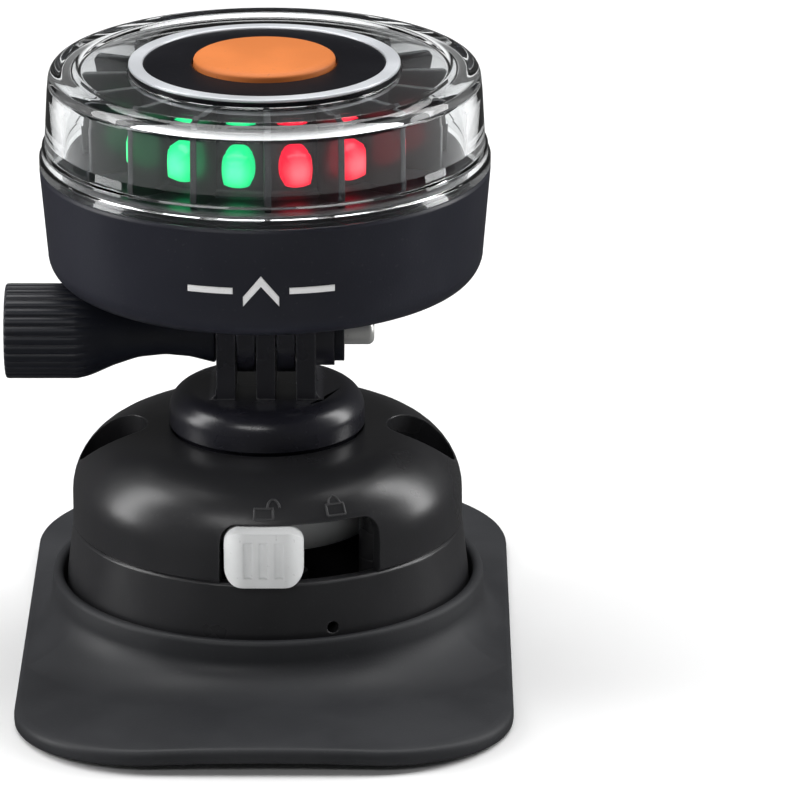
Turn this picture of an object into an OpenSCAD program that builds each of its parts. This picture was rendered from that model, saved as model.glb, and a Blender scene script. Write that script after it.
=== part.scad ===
// Portable tricolour navigation light: a clear-lensed light head that tilts on a clamp hinge,
// a twist-lock plug under the hinge, and the deck base that holds the plug.
// Millimetres, +Z up, origin on the underside of the rubber pad. The bow, between green and red, is -Y.

/* [Pad] */
// Width of the rubber pad
pad_w = 90; // [88:1:100]
// Length of the rubber pad
pad_l = 136; // [120:1:160]
// Corner radius of the rubber pad
pad_corner_r = 26; // [14:1:30]
// Thickness of the pad's plate
pad_t = 3; // [2.8:0.1:3.6]
// Height of the pad's collar above the floor
collar_top_z = 14; // [12:0.5:15]

/* [Base] */
// Outer radius of the base cover at the seam
base_r = 36; // [35.6:0.1:36.4]
// Height of the seam between base body and cover
seam_z = 23.6; // [23.4:0.1:23.8]
// Height of the top of the base cover
cover_top_z = 41.6; // [41:0.1:42]
// Radius of the cover's hole, which takes the plug's collar
socket_r = 17.25; // [17.1:0.05:17.5]
// Distance of each fixing screw from the centre
screw_offset = 28.3; // [28.1:0.1:28.5]

/* [Lock] */
// Number of plug teeth, and of teeth on the lock ring
tooth_count = 8; // [8]
// Turn of the lock ring from open to locked, in degrees
lock_turn = 22.5; // [20:0.5:22.5]
// Width of the thumb tabs
tab_w = 14.4; // [12:0.1:14.6]

/* [Plug] */
// Radius over the plug's teeth
plug_r = 16; // [15.6:0.1:16.1]
// Radius of the plug's neck
neck_r = 12.35; // [11.5:0.05:12.4]
// Radius of the plug's collar
plug_collar_r = 16.85; // [16.5:0.05:16.95]
// Angle of the first plug tooth from the bow, in degrees
plug_phase = -10; // [-12:0.5:-8]

/* [Hinge] */
// Outer radius of the hinge prongs
prong_r = 7.5; // [6.5:0.1:8]
// Radius of the clamp bolt
bolt_r = 2.5; // [2.5]
// Height of the hinge axis above the prong disc
pivot_over_disc = 10.5; // [10.4:0.1:11.5]
// Radius of the knob's grip
knob_r = 8.75; // [8:0.05:9]
// Distance of the knob's end from the centre
knob_reach = 47.8; // [44:0.1:50]
// Number of flutes round the knob's grip
flute_count = 30; // [20:1:36]

/* [Light head] */
// Outer radius of the light head
head_r = 41; // [41]
// Height of the lower housing
housing_h = 21.2; // [21.2:0.1:24]
// Height of the lens above the housing
lens_h = 18.4; // [18.4]
// Number of light cells round the lens
cell_count = 16; // [16]
// Radius of the mode button
button_r = 12.85; // [11:0.05:13]

/* [Hidden] */
$fn = 96;

// Gap between parts that move past each other
gap = 0.3;
tooth_pitch = 360 / tooth_count;
plug_tooth_half = 10.6;
ring_tooth_half = 8.5;
rib_half = tooth_pitch / 2 - plug_tooth_half - 1.1;
ring_phase = plug_phase + tooth_pitch / 2;

// The pad is arched across its width: its middle stands clear of the deck by pad_rise
pad_rise = 2;
pad_arch_r = (pow(pad_w / 2, 2) + pow(pad_rise, 2)) / (2 * pad_rise);
pad_top_z = pad_rise + pad_t;
plate_r = 32;
plate_t = 2.4;
boss_r = 3.6;
boss_top_z = 9;

// Heights of the base, upwards
well_floor_z = 9.5;
well_wall_r = 19.5;
screw_seat_z = 18;
ring_bottom_z = seam_z + gap;
ring_top_z = ring_bottom_z + 6;
arm_t = 3.5;
slot_top_z = 34.5;
cover_wall = 2.2;
seam_ease = 0.4;
pocket_wall = 1.4;
shoulder_r = 12.5;
ring_outer_r = 20;
tooth_tip_r = 13.3;
pocket_r = 6.3;
screw_r = 2.45;
column_offset = 29;
detent_offset = 27;
detent_angle = lock_turn / 2;

// Heights of the plug and the hinge, upwards
disc_z = cover_top_z + 0.1;
plug_collar_h = 8.8;
plug_collar_z = disc_z - plug_collar_h;
tooth_top_z = ring_bottom_z - 0.2;
plug_tooth_h = 11;
plug_bottom_z = tooth_top_z - plug_tooth_h;
plug_root_r = 12.95;
disc_h = 7.5;
disc_r = 18;
pivot_z = disc_z + disc_h + pivot_over_disc;
prong_t = 3.5;
prong_pitch = 7.3;
head_prong_t = 3.4;
prong_span = 2 * prong_pitch + prong_t;
bolt_clearance = 0.08;
nut_boss_t = 3.45;
nut_boss_r = 6.3;
nut_af = 8;
grip_start = 34;

// Heights of the light head, upwards
head_z = pivot_z + 11.3;
bracket_t = 3;
housing_top_z = head_z + housing_h;
lens_z = housing_top_z + 0.15;
lens_top_z = housing_top_z + lens_h;
housing_wall = 3;
bore_r = head_r - housing_wall;
floor_t = 2.6;
edge_r = 5;
foot_r = 39.7;
lug_z = housing_top_z - 3.5;
lug_h = 1.8;
seal_z = housing_top_z - 6.5;
carrier_floor_z = housing_top_z + 0.2;
carrier_floor_t = 1.3;
drum_r = 24.6;
drum_wall = 1.4;
fin_r = 33.5;
fin_t = 1.2;
led_z = housing_top_z + 6.7;
lens_hole_r = 24.75;
plate_top_z = lens_top_z - 0.7;
face_z = lens_top_z - 0.9;
trim_top_z = lens_top_z + 0.65;
face_top_z = lens_top_z + 0.4;
button_top_z = lens_top_z + 2;
stem_z = button_top_z - 4.65;
switch_board_z = lens_top_z - 8.5;
main_board_z = housing_top_z - 5.2;
board_t = 1.6;
head_twist = 2;
cell_pitch = 360 / cell_count;

// AAA cells
battery_r = 5.25;
battery_l = 44.5;
battery_pitch = 11.2;
battery_z = head_z + floor_t + 6.5;
tray_l = 52;
channel_l = 48;
contact_t = 0.4;

// Points along an arc in the profile plane, from angle a0 to a1
function arc(c, r, a0, a1, n = 8) = [for (i = [0:n]) let (a = a0 + (a1 - a0) * i / n) c + r * [cos(a), sin(a)]];

// Points of a helix's wire section, for coil()
function coil_ring(r, wire, turns, h, t, sides) =
    let (a = 360 * turns * t, z = h * t)
    [for (k = [0:sides - 1]) let (b = 360 * k / sides)
        [(r + wire * cos(b)) * cos(a), (r + wire * cos(b)) * sin(a), z + wire * sin(b)]];

// Coil spring along +Z, its wire's centre from z = 0 to h
module coil(r, wire, turns, h, sides = 6, steps = 12) {
    n = round(turns * steps);
    rings = [for (i = [0:n]) coil_ring(r, wire, turns, h, i / n, sides)];
    walls = [for (i = [0:n - 1]) for (k = [0:sides - 1])
        [i * sides + k, (i + 1) * sides + k, (i + 1) * sides + (k + 1) % sides, i * sides + (k + 1) % sides]];
    start = [[for (k = [0:sides - 1]) k]];
    finish = [[for (k = [sides - 1:-1:0]) n * sides + k]];
    polyhedron(points = [for (ring = rings) for (p = ring) p], faces = concat(walls, start, finish), convexity = 6);
}

// Turns its children's +X to an angle from the bow, positive towards +X
module at_angle(a) {
    rotate([0, 0, a - 90]) children();
}

// Flat wedge with its point on the axis, centred on +X
module wedge(half_angle, r) {
    polygon(concat([[0, 0]], [for (i = [-4:4]) r * [cos(half_angle * i / 4), sin(half_angle * i / 4)]]));
}

// Part of a ring between two radii, centred on +X
module sector(half_angle, r_in, r_out, h) {
    linear_extrude(h) difference() {
        intersection() {
            circle(r_out);
            wedge(half_angle, r_out * 1.3);
        }
        circle(r_in);
    }
}

module tube(r_out, r_in, h) {
    difference() {
        cylinder(r = r_out, h = h);
        translate([0, 0, -1]) cylinder(r = r_in, h = h + 2);
    }
}

module rounded_rectangle(w, l, r) {
    square([w - 2 * r, l], center = true);
    square([w, l - 2 * r], center = true);
    for (x = [-1, 1], y = [-1, 1]) translate([x * (w / 2 - r), y * (l / 2 - r)]) circle(r);
}

module both_screws() {
    for (side = [-1, 1]) translate([side * screw_offset, 0, 0]) children();
}

// ---- Base ----

// Cylinder along Y that arches the pad, as thick as its rise plus extra
module pad_arch(extra) {
    translate([0, pad_l / 2 + 1, pad_rise - pad_arch_r]) rotate([90, 0, 0])
        cylinder(r = pad_arch_r + extra, h = pad_l + 2, $fn = 1440);
}

module four_columns(r) {
    for (a = [45:90:315]) rotate([0, 0, a]) translate([r, 0, 0]) children();
}

module rubber_pad() {
    foot_z = pad_t;
    color("#2e3032") difference() {
        union() {
            intersection() {
                linear_extrude(3 * pad_t) rounded_rectangle(pad_w, pad_l, pad_corner_r);
                pad_arch(pad_t);
            }
            rotate_extrude() polygon(concat(
                [[38, foot_z], [42.5, foot_z]],
                arc([44.6, foot_z + 4.2], 4.4, 242, 185, 6),
                arc([39.2, collar_top_z - 0.8], 0.8, 0, 90, 5),
                [[38.4, collar_top_z], [38, collar_top_z - 0.4]]));
        }
        pad_arch(0);
        translate([0, 0, -1]) cylinder(r = plate_r + 0.1, h = plate_t + 1);
        translate([0, 0, -1]) both_screws() cylinder(r = boss_r + 0.1, h = 12);
    }
}

module backing_plate() {
    color("#55585b") difference() {
        union() {
            cylinder(r = plate_r, h = plate_t);
            both_screws() cylinder(r = boss_r, h = boss_top_z);
        }
        translate([0, 0, -1]) both_screws() cylinder(r = screw_r + 0.05, h = boss_top_z + 2);
    }
}

module base_body() {
    inner_r = base_r - cover_wall;
    floor_top_z = pad_top_z + 2.4;
    color("#38393c") difference() {
        union() {
            // outer wall and floor
            rotate_extrude() polygon([
                [0, pad_top_z], [base_r + 1.7, pad_top_z], [base_r + 1.1, collar_top_z],
                [base_r, seam_z - seam_ease], [base_r - seam_ease, seam_z],
                [inner_r, seam_z], [inner_r, floor_top_z], [0, floor_top_z]]);
            // well that takes the plug, with a post in its middle
            rotate_extrude() polygon([
                [0, pad_top_z], [well_wall_r, pad_top_z], [well_wall_r, seam_z], [plug_r + 0.45, seam_z],
                [plug_r + 0.45, well_floor_z], [3.6, well_floor_z], [3.6, 11.6], [3.2, 12], [0, 12]]);
            // ribs that keep the plug from turning
            for (i = [0:tooth_count - 1]) at_angle(ring_phase + i * tooth_pitch)
                translate([0, 0, well_floor_z - 0.5])
                    sector(rib_half, plug_root_r + 0.45, 17.5, seam_z - well_floor_z + 0.5);
            both_screws() translate([0, 0, pad_top_z])
                cylinder(r = pocket_r + pocket_wall, h = seam_z - gap - pad_top_z);
            four_columns(column_offset) translate([0, 0, pad_top_z]) cylinder(r = 3.5, h = seam_z - pad_top_z);
            // detent towers under the lock ring's arms
            for (side = [0, 180]) at_angle(side + detent_angle) translate([detent_offset, 0, pad_top_z])
                cylinder(r = 2.6, h = seam_z - 0.7 - pad_top_z);
        }
        both_screws() {
            cylinder(r = boss_r + 0.1, h = boss_top_z + 0.2);
            cylinder(r = screw_r + 0.25, h = 30);
            translate([0, 0, screw_seat_z]) cylinder(r = pocket_r, h = 10);
        }
        four_columns(column_offset) {
            cylinder(r = 1.3, h = 40);
            cylinder(r = 2.5, h = pad_top_z + 2.5);
        }
        for (side = [0, 180]) at_angle(side + detent_angle) translate([detent_offset, 0, 15])
            cylinder(r = 1.55, h = 12);
        // drain hole just above the pad's collar
        at_angle(19.6) translate([30, 0, collar_top_z + 1]) rotate([0, 90, 0]) cylinder(r = 1.1, h = 12);
    }
}

// Outline of the cover's outside, from the seam up and over to the top
function cover_outline(inset) = concat(
    [[base_r - inset, seam_z], [base_r - inset, cover_top_z - shoulder_r]],
    arc([base_r - shoulder_r, cover_top_z - shoulder_r], shoulder_r - inset, 0, 90, 12));

module cover_solid(inset, drop = 0) {
    translate([0, 0, -drop]) rotate_extrude()
        polygon(concat([[0, seam_z]], cover_outline(inset), [[0, cover_top_z - inset]]));
}

// Slot that a thumb tab slides in, with round upper corners
module tab_slot() {
    margin = 13;
    corner = 3;
    corner_half = 5;
    start = -margin;
    finish = lock_turn + margin;
    half = (finish - start) / 2;
    at_angle(start + half) {
        translate([0, 0, seam_z - 1]) sector(half, 24, 42, slot_top_z - seam_z + 1 - corner);
        translate([0, 0, seam_z]) sector(half - corner_half, 24, 42, slot_top_z - seam_z);
    }
    for (a = [start + corner_half, finish - corner_half]) at_angle(a)
        translate([24, 0, slot_top_z - corner]) rotate([0, 90, 0]) cylinder(r = corner, h = 18);
}

module base_cover() {
    guide_z = ring_top_z + gap;
    color("#3a3b3e") difference() {
        union() {
            difference() {
                cover_solid(0);
                cover_solid(cover_wall, 0.01);
                // eased lower edge, which leaves a fine groove at the seam
                rotate_extrude() polygon([
                    [base_r - seam_ease - 0.1, seam_z - 0.1], [base_r + 0.1, seam_z - 0.1],
                    [base_r + 0.1, seam_z + seam_ease + 0.1]]);
            }
            intersection() {
                cover_solid(1);
                union() {
                    both_screws() cylinder(r = pocket_r + pocket_wall, h = cover_top_z);
                    four_columns(column_offset) cylinder(r = 3.5, h = cover_top_z);
                    // guide above the lock ring
                    translate([0, 0, guide_z]) cylinder(r = 19, h = cover_top_z - guide_z);
                }
            }
        }
        translate([0, 0, seam_z - 1]) {
            both_screws() cylinder(r = pocket_r, h = 30);
            cylinder(r = socket_r, h = 30);
            four_columns(column_offset) cylinder(r = 1.1, h = 9.5);
        }
        // chamfer round the hole
        translate([0, 0, cover_top_z - 0.7]) cylinder(r1 = socket_r, r2 = socket_r + 1, h = 1);
        tab_slot();
        rotate([0, 0, 180]) tab_slot();
    }
}

module fixing_screws() {
    head_r0 = 4.85;
    color("silver") both_screws() translate([0, 0, screw_seat_z]) {
        translate([0, 0, 0.8 - screw_seat_z]) cylinder(r = screw_r, h = screw_seat_z - 0.8);
        difference() {
            rotate_extrude() polygon(concat([[0, 0], [head_r0, 0], [head_r0, 1]],
                arc([head_r0 - 2.2, 1], 2.2, 0, 60, 6), [[0, 3.3]]));
            for (turn = [20, 110]) rotate([0, 0, turn]) translate([-2.7, -0.5, 1.2]) cube([5.4, 1, 3]);
        }
    }
}

module cover_screws() {
    color("silver") four_columns(column_offset) {
        cylinder_from(pad_top_z + 0.5, 2.3, 2);
        cylinder_from(pad_top_z + 2.5, 1.1, seam_z + 5 - pad_top_z);
    }
}

module detent_balls() {
    color("silver") for (side = [0, 180]) at_angle(side + detent_angle)
        translate([detent_offset, 0, ring_bottom_z - 1.5]) sphere(1.4);
}

module detent_springs() {
    color("gray") for (side = [0, 180]) at_angle(side + detent_angle)
        translate([detent_offset, 0, 15.3]) coil(1.15, 0.25, 5, ring_bottom_z - 15.3 - 3.2);
}

// ---- Lock ring ----

module lock_ring() {
    color("#a9abad") {
        difference() {
            union() {
                translate([0, 0, ring_bottom_z]) cylinder(r = ring_outer_r, h = ring_top_z - ring_bottom_z);
                for (side = [0, 180]) at_angle(side) translate([0, 0, ring_bottom_z])
                    sector(8, 19, 33.2, arm_t);
            }
            translate([0, 0, ring_bottom_z - 1]) cylinder(r = 17.4, h = 10);
        }
        // teeth, chamfered towards their tips
        for (i = [0:tooth_count - 1]) at_angle(ring_phase + i * tooth_pitch) intersection() {
            translate([0, 0, ring_bottom_z]) sector(ring_tooth_half, 12, 18, ring_top_z - ring_bottom_z);
            rotate_extrude() polygon([
                [tooth_tip_r, ring_bottom_z], [19, ring_bottom_z], [19, ring_top_z],
                [tooth_tip_r + 1.8, ring_top_z], [tooth_tip_r, ring_top_z - 1.8]]);
        }
    }
}

// Thumb tab on the end of the bow's arm
module thumb_tab() {
    outer_y = 38.5;
    inner_y = 33.2;
    tab_h = 10.4;
    mid_z = ring_bottom_z + tab_h / 2;
    color("#c3c6c8") difference() {
        intersection() {
            translate([0, 4.5 - outer_y, 0]) linear_extrude(60) rounded_rectangle(tab_w, 9, 4);
            translate([0, 0, mid_z]) rotate([90, 0, 0]) linear_extrude(60) rounded_rectangle(tab_w, tab_h, 3);
            translate([-20, -outer_y, 0]) cube([40, outer_y - inner_y, 60]);
        }
        for (x = [-2.8, 0, 2.8]) translate([x, -outer_y - 0.35, ring_bottom_z + 1.8])
            cylinder(r = 0.9, h = tab_h - 3.6);
    }
}

module front_thumb_tab() {
    thumb_tab();
}

module rear_thumb_tab() {
    rotate([0, 0, 180]) thumb_tab();
}

// ---- Plug and hinge ----

module twist_plug() {
    color("#26262b") difference() {
        union() {
            rotate_extrude() polygon(concat(
                [[0, plug_bottom_z], [plug_root_r, plug_bottom_z], [plug_root_r, tooth_top_z - 0.3],
                 [neck_r, tooth_top_z - 0.3], [neck_r, plug_collar_z]],
                arc([plug_collar_r - 2, plug_collar_z + 2], 2, 270, 360, 6),
                [[plug_collar_r, disc_z], [8, disc_z], [8, disc_z + 2.6], [0, disc_z + 2.6]]));
            for (i = [0:tooth_count - 1]) at_angle(plug_phase + i * tooth_pitch)
                translate([0, 0, plug_bottom_z]) sector(plug_tooth_half, neck_r - 1, plug_r, plug_tooth_h);
        }
        translate([0, 0, plug_bottom_z - 1]) cylinder(r = 9.5, h = 18);
        cylinder(r = 2.2, h = disc_z + 10);
    }
}

// Side view of one prong, with its round end at the hinge axis
module prong_outline(root_half, root_z) {
    translate([0, pivot_z]) circle(prong_r);
    polygon([[-root_half, root_z], [root_half, root_z], [prong_r, pivot_z], [-prong_r, pivot_z]]);
}

// Stands a YZ outline up as a plate of thickness t, centred at x
module plate_at(x, t) {
    translate([x - t / 2, 0, 0]) rotate([90, 0, 90]) linear_extrude(t) children();
}

module hinge_hole(r) {
    translate([-40, 0, pivot_z]) rotate([0, 90, 0]) cylinder(r = r, h = 80);
}

module prong_disc() {
    top_z = disc_z + disc_h;
    flare = 2.2;
    color("#232327") difference() {
        union() {
            rotate_extrude() polygon(concat(
                [[0, disc_z], [disc_r - 0.6, disc_z], [disc_r, disc_z + 0.6]],
                arc([disc_r - 4.3, top_z - 4.3], 4.3, 0, 90, 10),
                [[0, top_z]]));
            for (i = [-1:1]) plate_at(i * prong_pitch, prong_t) prong_outline(8.5, top_z - 1);
            // flared roots
            for (side = [-1, 1]) translate([side * prong_span / 2, 8.5, top_z - 0.1]) rotate([90, 0, 0])
                linear_extrude(17) polygon(concat([[0, 0]],
                    arc([side * flare, flare], flare, 270, side > 0 ? 180 : 360, 6)));
            // boss that holds the nut
            translate([prong_span / 2 - 0.5, 0, pivot_z]) rotate([0, 90, 0])
                cylinder(r = nut_boss_r, h = nut_boss_t + 0.5);
        }
        hinge_hole(bolt_r + bolt_clearance);
        translate([prong_span / 2 + 1, 0, pivot_z]) rotate([0, 90, 0])
            cylinder(r = nut_af / sqrt(3) + 0.1, h = 10, $fn = 6);
        translate([0, 0, disc_z - 1]) cylinder(r = 8.1, h = 3.7);
        cylinder(r = 1.9, h = top_z - 1);
    }
}

module plug_screw() {
    color("silver") {
        cylinder_from(plug_bottom_z + 14.4, 3.8, 2.6);
        cylinder_from(plug_bottom_z + 17, 1.9, disc_z + disc_h - 1.2 - plug_bottom_z - 17);
    }
}

module cylinder_from(z, r, h) {
    translate([0, 0, z]) cylinder(r = r, h = h);
}

// Hexagon nut with a round collar that closes the boss
module clamp_nut() {
    nut_t = nut_boss_t - 1;
    color("#303034") translate([prong_span / 2 + 1, 0, pivot_z]) rotate([0, 90, 0]) difference() {
        union() {
            cylinder(r = nut_af / sqrt(3), h = nut_t, $fn = 6);
            translate([0, 0, nut_t]) cylinder(r = 5.5, h = 1.8);
        }
        translate([0, 0, -1]) cylinder(r = bolt_r + 0.05, h = 10);
    }
}

// Knob: a waisted stem that flares into a fluted grip
module clamp_knob() {
    start = prong_span / 2 + 0.25;
    flute_r = 0.6;
    seat_x = -start - 14;
    color("#1d1d21") difference() {
        translate([0, 0, pivot_z]) rotate([0, -90, 0]) rotate_extrude() polygon(concat(
            [[0, start], [5.9, start], [5.5, 10.6], [4.7, 14], [4.25, 18], [4.35, 20.5], [4.9, 23.5],
             [6, 27], [7.2, 30], [8.2, 32.5], [knob_r, grip_start + 1]],
            arc([knob_r - 1.6, knob_reach - 1.6], 1.6, 0, 90, 5),
            [[0, knob_reach]]));
        for (i = [0:flute_count - 1]) translate([-grip_start - 0.6, 0, pivot_z])
            rotate([i * 360 / flute_count, 0, 0]) translate([0, 0, knob_r + 0.15]) rotate([0, -90, 0])
                cylinder(r = flute_r, h = 20);
        // seat of the bolt, moulded in
        translate([seat_x, 0, pivot_z]) rotate([0, 90, 0]) {
            cylinder(r = bolt_r, h = 16);
            cylinder(r = 3.6, h = 4, $fn = 6);
        }
    }
}

module clamp_bolt() {
    start = prong_span / 2 + 0.25;
    tip = 19.8;
    color("silver") translate([0, 0, pivot_z]) rotate([0, 90, 0]) {
        translate([0, 0, -start - 14]) cylinder(r = 3.6, h = 4, $fn = 6);
        rotate_extrude() polygon(concat([[0, -start - 10.5], [bolt_r, -start - 10.5]],
            arc([bolt_r - 1.2, tip - 1.2], 1.2, 0, 90, 5), [[0, tip]]));
    }
}

// ---- Light head ----

module lower_housing() {
    color("#2b2b30") difference() {
        union() {
            rotate_extrude() polygon(concat(
                [[0, head_z]],
                arc([foot_r - edge_r, head_z + edge_r], edge_r, 270, 360, 8),
                [[head_r, housing_top_z - 0.6], [head_r - 0.3, housing_top_z], [bore_r, housing_top_z],
                 [bore_r, lug_z + lug_h + 0.2], [bore_r + 1.4, lug_z + lug_h + 0.2], [bore_r + 1.4, lug_z - 0.2],
                 [bore_r, lug_z - 0.2], [bore_r, head_z + 9], [36.8, head_z + 7.5], [36.8, head_z + floor_t],
                 [0, head_z + floor_t]]));
            for (a = [45:90:315]) rotate([0, 0, a]) translate([13, 0, head_z + 1]) cylinder(r = 2.8, h = 2.6);
        }
        // ways in for the carrier's lugs
        for (a = [30:120:270]) rotate([0, 0, a]) translate([0, 0, lug_z])
            sector(8, bore_r - 1, bore_r + 1.2, 10);
        for (a = [45:90:315]) rotate([0, 0, a]) translate([13, 0, head_z - 1]) cylinder(r = 1.45, h = 4.2);
    }
}

module tilt_bracket() {
    color("#232327") difference() {
        union() {
            translate([0, 0, head_z - bracket_t]) cylinder(r = 17, h = bracket_t);
            for (side = [-1, 1]) plate_at(side * prong_pitch / 2, head_prong_t) prong_outline(8, head_z - 1);
        }
        hinge_hole(bolt_r + bolt_clearance);
        for (a = [45:90:315]) rotate([0, 0, a]) translate([13, 0, head_z - 5]) {
            cylinder(r = 1.6, h = 10);
            cylinder(r = 3, h = 5 - bracket_t + 1.9);
        }
    }
}

module bracket_screws() {
    color("silver") for (a = [45:90:315]) rotate([0, 0, a]) translate([13, 0, 0]) {
        cylinder_from(head_z - 2.4, 2.8, 1.3);
        cylinder_from(head_z - 1.1, 1.4, 4.2);
    }
}

module battery_row() {
    for (i = [-1:1]) translate([i * battery_pitch, 0, battery_z]) children();
}

module battery_tray() {
    floor_z = head_z + floor_t;
    w = 3 * battery_pitch + 3;
    channel_r = battery_r + 0.2;
    color("#3b3c40") difference() {
        translate([-w / 2, -tray_l / 2, floor_z]) cube([w, tray_l, 9.5]);
        battery_row() rotate([90, 0, 0]) cylinder(r = channel_r, h = channel_l, center = true);
        battery_row() translate([-channel_r, -channel_l / 2, 0]) cube([2 * channel_r, channel_l, 20]);
        // room for the bosses of the bracket's screws
        for (a = [45:90:315]) rotate([0, 0, a]) translate([13, 0, floor_z - 1]) cylinder(r = 3.1, h = 3);
    }
}

// Cells, their tips pressed against the front contacts
module battery_cells() {
    tip = 0.8;
    color("#b9a24a") battery_row() translate([0, contact_t - channel_l / 2, 0]) rotate([-90, 0, 0]) {
        cylinder(r = 1.9, h = tip);
        translate([0, 0, tip]) cylinder(r = battery_r, h = battery_l - tip);
    }
}

module contact_springs() {
    wire_r = 0.3;
    spring_l = channel_l - battery_l - 2 * contact_t - 2 * wire_r;
    color("silver") battery_row() translate([0, channel_l / 2 - contact_t - wire_r, 0]) rotate([90, 0, 0])
        coil(2.6, wire_r, 4, spring_l);
}

module contact_plates() {
    side = 7;
    color("silver") battery_row() for (y = [-channel_l / 2, channel_l / 2 - contact_t])
        translate([-side / 2, y, -side / 2]) cube([side, contact_t, side]);
}

// Printed mark that shows which way the bow lies, a thin layer on the housing's sloping side
module bow_mark() {
    mark_z = head_z + 10;
    ink_t = 0.12;
    slope = (head_r - foot_r) / (housing_h - 0.6 - edge_r);
    low_z = head_z + edge_r;
    low_r = foot_r;
    high_r = foot_r + slope * 12;
    color("white") intersection() {
        translate([0, 0, mark_z]) rotate([90, 0, 0]) linear_extrude(60) {
            polygon([[0, 2.6], [3.2, -1.4], [3.2, -3.2], [0, 0.6], [-3.2, -3.2], [-3.2, -1.4]]);
            for (side = [-1, 1]) translate([side * 9, -0.3]) square([8, 1.2], center = true);
        }
        difference() {
            translate([0, 0, low_z]) cylinder(r1 = low_r + ink_t, r2 = high_r + ink_t, h = 12);
            translate([0, 0, low_z - 0.01]) cylinder(r1 = low_r - 0.01 * slope, r2 = high_r + 0.01 * slope, h = 12.02);
        }
    }
}

// ---- Upper unit ----

module lens() {
    ridge_r = 3.2;
    ridge_c = [36.1, lens_top_z - ridge_r];
    inner_r = 36.6;
    inner_top_z = plate_top_z - 2.2;
    color([0.85, 0.92, 0.95, 0.35]) rotate_extrude() polygon(concat(
        [[37.5, lens_z], [head_r - 0.15, lens_z], [head_r, lens_z + 0.15], [head_r, lens_z + 1.5],
         [head_r - 0.4, lens_z + 1.8], [head_r - 0.5, lens_z + 3.6], [head_r - 0.9, lens_z + 4]],
        arc(ridge_c, ridge_r, 3, 128, 12),
        [[lens_hole_r + 0.3, plate_top_z], [lens_hole_r, plate_top_z - 0.3], [lens_hole_r, inner_top_z]],
        arc([inner_r - 2.6, inner_top_z - 2.6], 2.6, 90, 0, 6),
        [[37.5, lens_z + 2]]));
}

module lens_seal() {
    color("#151515") rotate_extrude() translate([36.65, seal_z]) circle(1.25, $fn = 24);
}

module led_carrier() {
    skirt_r = bore_r - 0.4;
    drum_in = drum_r - drum_wall;
    color("#1b1b1e") {
        difference() {
            union() {
                // skirt with the seal's groove
                rotate_extrude() polygon([
                    [drum_in, carrier_floor_z], [skirt_r, carrier_floor_z],
                    [skirt_r, seal_z + 1.4], [35.4, seal_z + 1.4], [35.4, seal_z - 1.4], [skirt_r, seal_z - 1.4],
                    [skirt_r, seal_z - 2.6], [34.4, seal_z - 2.6], [34.4, carrier_floor_z - 1.2],
                    [drum_in, carrier_floor_z - 1.2]]);
                // floor and drum
                rotate_extrude() polygon([
                    [drum_in, carrier_floor_z - 1], [skirt_r - 0.5, carrier_floor_z - 1],
                    [skirt_r - 0.5, carrier_floor_z + carrier_floor_t], [drum_r, carrier_floor_z + carrier_floor_t],
                    [drum_r, face_z], [drum_in, face_z]]);
                for (i = [0:cell_count - 1]) at_angle(head_twist + i * cell_pitch)
                    rotate([90, 0, 0]) translate([0, 0, -fin_t / 2]) linear_extrude(fin_t) polygon([
                        [drum_in + 0.4, carrier_floor_z], [fin_r, carrier_floor_z], [fin_r, lens_top_z - 4.2],
                        [fin_r - 0.8, lens_top_z - 3.3], [drum_in + 0.4, lens_top_z - 3.3]]);
                for (a = [0:120:240]) rotate([0, 0, a]) translate([0, 0, lug_z])
                    sector(6, skirt_r - 1, skirt_r + 1.4, lug_h);
            }
            // seat of the LED strip
            difference() {
                cylinder_from(led_z - 4.2, drum_r + 1, 8.4);
                cylinder_from(led_z - 5, drum_r - 0.3, 10);
                for (i = [0:cell_count - 1]) at_angle(head_twist + i * cell_pitch)
                    translate([drum_r - 1, -fin_t / 2, led_z - 6]) cube([4, fin_t, 12]);
            }
        }
    }
}

module led_strip() {
    color("#e8e6dc") difference() {
        cylinder_from(led_z - 4, drum_r - 0.02, 8);
        cylinder_from(led_z - 5, drum_r - 0.3, 10);
        for (i = [0:cell_count - 1]) at_angle(head_twist + i * cell_pitch)
            translate([drum_r - 2, -fin_t / 2 - 0.1, led_z - 6]) cube([4, fin_t + 0.2, 12]);
    }
}

// LEDs in the cells first to last, counted from the bow towards -X
module leds(first, last, tint) {
    chip = 3.5;
    color(tint) for (i = [first:last]) at_angle(head_twist - (i + 0.5) * cell_pitch) {
        translate([drum_r - 0.02, -chip / 2, led_z - chip / 2]) cube([1.2, chip, chip]);
        translate([drum_r + 1.1, 0, led_z]) rotate([0, 90, 0]) rotate_extrude()
            polygon(concat([[0, 0]], arc([0, 0], 1.6, 0, 90, 6)));
    }
}

module green_leds() {
    leds(0, 4, "#15d070");
}

module red_leds() {
    leds(11, 15, "#ff2030");
}

module white_leds() {
    leds(5, 10, "white");
}

module main_board() {
    color("#1f6b3f") cylinder_from(main_board_z, 34.3, board_t);
}

module switch_board() {
    color("#1f6b3f") difference() {
        cylinder_from(switch_board_z, drum_r - drum_wall - 0.2, board_t);
        for (y = [-18, 18]) translate([0, y, switch_board_z - 1]) cylinder(r = 0.9, h = 4);
    }
}

module board_pins() {
    color("#c9a94f") for (y = [-18, 18]) translate([0, y, 0]) {
        cylinder_from(main_board_z + board_t, 1.3, switch_board_z - main_board_z - board_t);
        cylinder_from(switch_board_z, 0.85, board_t + 0.6);
    }
}

module mode_switch() {
    body_z = switch_board_z + board_t;
    color("#202022") {
        translate([-3, -3, body_z]) cube([6, 6, 3]);
        // stands clear of the button's stem by its travel
        cylinder_from(body_z + 3, 1.7, stem_z - 0.85 - body_z - 3);
    }
}

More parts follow.
